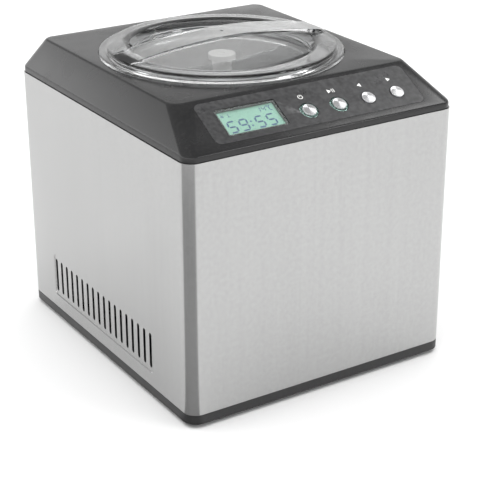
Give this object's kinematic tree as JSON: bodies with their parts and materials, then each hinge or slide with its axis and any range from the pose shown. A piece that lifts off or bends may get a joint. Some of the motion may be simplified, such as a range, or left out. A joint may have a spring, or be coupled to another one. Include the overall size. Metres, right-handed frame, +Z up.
{
  "type": "ice cream maker",
  "caption": "Compressor ice cream maker with steel housing, sloping control panel, clear lid with arched handle, lift-out bowl, paddle, gear drive and cooling circuit.",
  "frame": {"origin": "on the table under the middle of the housing", "axes": "+Z up, front towards -Y, +X to the right seen from the front"},
  "size_m": [0.27, 0.308, 0.2876],
  "materials": {
    "steel": "fine vertical brushing",
    "black_plastic": "fine satin moulding",
    "panel_plastic": "semi-gloss film",
    "clear_plastic": "polished clear moulding",
    "screen": "green-tinted window",
    "button_metal": "turned face",
    "white_plastic": "satin",
    "aluminium": "drawn and anodised",
    "copper": "drawn tube",
    "foam": "rigid foam, closed skin",
    "zinc": "zinc plated",
    "rubber": "matt",
    "board": "lacquered board",
    "enamel": "black enamel",
    "nylon": "natural nylon"
  },
  "bodies": {
    "machine": {"base_tray": "black_plastic", "steel_housing": "steel", "rear_panel": "black_plastic", "mains_inlet": "black_plastic", "top_cover": "black_plastic", "control_panel": "panel_plastic", "screen_window": "screen", "display_module": "board", "power_button_light_ring": "clear_plastic", "start_pause_button_light_ring": "clear_plastic", "control_board": "board", "cooling_pot": "aluminium", "evaporator_coil": "copper", "foam_insulation": "foam", "shaft_bearing": "nylon", "shaft_seal": "rubber", "gearbox_housing": "black_plastic", "gearbox_cover": "black_plastic", "drive_motor": "enamel", "pot_deck": "zinc", "compressor": "enamel", "condenser": "aluminium", "fan_frame": "black_plastic", "filter_drier": "copper", "suction_pipe": "copper", "discharge_pipe": "copper", "capillary_tube": "copper", "power_board": "board", "foot_front_left": "rubber", "foot_front_right": "rubber", "foot_rear_left": "rubber", "foot_rear_right": "rubber", "base_screw_1": "zinc", "rear_screw_1": "zinc", "compressor_grommet_1": "rubber", "base_screw_2": "zinc", "rear_screw_2": "zinc", "compressor_grommet_2": "rubber", "base_screw_3": "zinc", "rear_screw_3": "zinc", "compressor_grommet_3": "rubber", "base_screw_4": "zinc", "rear_screw_4": "zinc", "compressor_grommet_4": "rubber"},
    "bowl": {"bowl": "aluminium"},
    "lid": {"lid": "clear_plastic", "lid_handle": "clear_plastic"},
    "paddle": {"paddle": "white_plastic"},
    "drive_shaft": {"drive_shaft": "zinc", "drive_gear": "nylon"},
    "motor_pinion": {"motor_pinion": "zinc"},
    "fan_impeller": {"fan_impeller": "black_plastic"},
    "power_button": {"power_button": "button_metal"},
    "start_pause_button": {"start_pause_button": "button_metal"},
    "time_down_button": {"time_down_button": "button_metal"},
    "time_up_button": {"time_up_button": "button_metal"}
  },
  "joints": [
    {"name": "bowl_lift", "type": "slide", "parent": "machine", "child": "bowl", "axis": [0, 0, 1], "range_m": [0, 0.13]},
    {"name": "lid_lift", "type": "slide", "parent": "bowl", "child": "lid", "axis": [0, 0, 1], "range_m": [0, 0.08]},
    {"name": "drive_shaft_spin", "type": "hinge", "parent": "machine", "child": "drive_shaft", "pos_m": [0, 0.0116, 0.15], "axis": [0, 0, 1], "continuous": true},
    {"name": "paddle_spin", "type": "hinge", "parent": "bowl", "child": "paddle", "pos_m": [0, 0.0116, 0.2], "axis": [0, 0, 1], "continuous": true},
    {"name": "motor_pinion_spin", "type": "hinge", "parent": "machine", "child": "motor_pinion", "pos_m": [0.0303, 0.0116, 0.11], "axis": [0, 0, 1], "continuous": true},
    {"name": "fan_spin", "type": "hinge", "parent": "machine", "child": "fan_impeller", "pos_m": [0.09, 0, 0.068], "axis": [1, 0, 0], "continuous": true},
    {"name": "power_button_press", "type": "slide", "parent": "machine", "child": "power_button", "axis": [0, 0.4881, -0.8728], "range_m": [0, 0.0008], "stiffness_N_per_m": 500, "springref_m": -0.001},
    {"name": "start_pause_button_press", "type": "slide", "parent": "machine", "child": "start_pause_button", "axis": [0, 0.4881, -0.8728], "range_m": [0, 0.0008], "stiffness_N_per_m": 500, "springref_m": -0.001},
    {"name": "time_down_button_press", "type": "slide", "parent": "machine", "child": "time_down_button", "axis": [0, 0.4881, -0.8728], "range_m": [0, 0.0008], "stiffness_N_per_m": 500, "springref_m": -0.001},
    {"name": "time_up_button_press", "type": "slide", "parent": "machine", "child": "time_up_button", "axis": [0, 0.4881, -0.8728], "range_m": [0, 0.0008], "stiffness_N_per_m": 500, "springref_m": -0.001}
  ],
  "couplings": [
    {"joint": "paddle_spin", "follows": "drive_shaft_spin", "ratio": 1},
    {"joint": "motor_pinion_spin", "follows": "drive_shaft_spin", "ratio": -4}
  ]
}
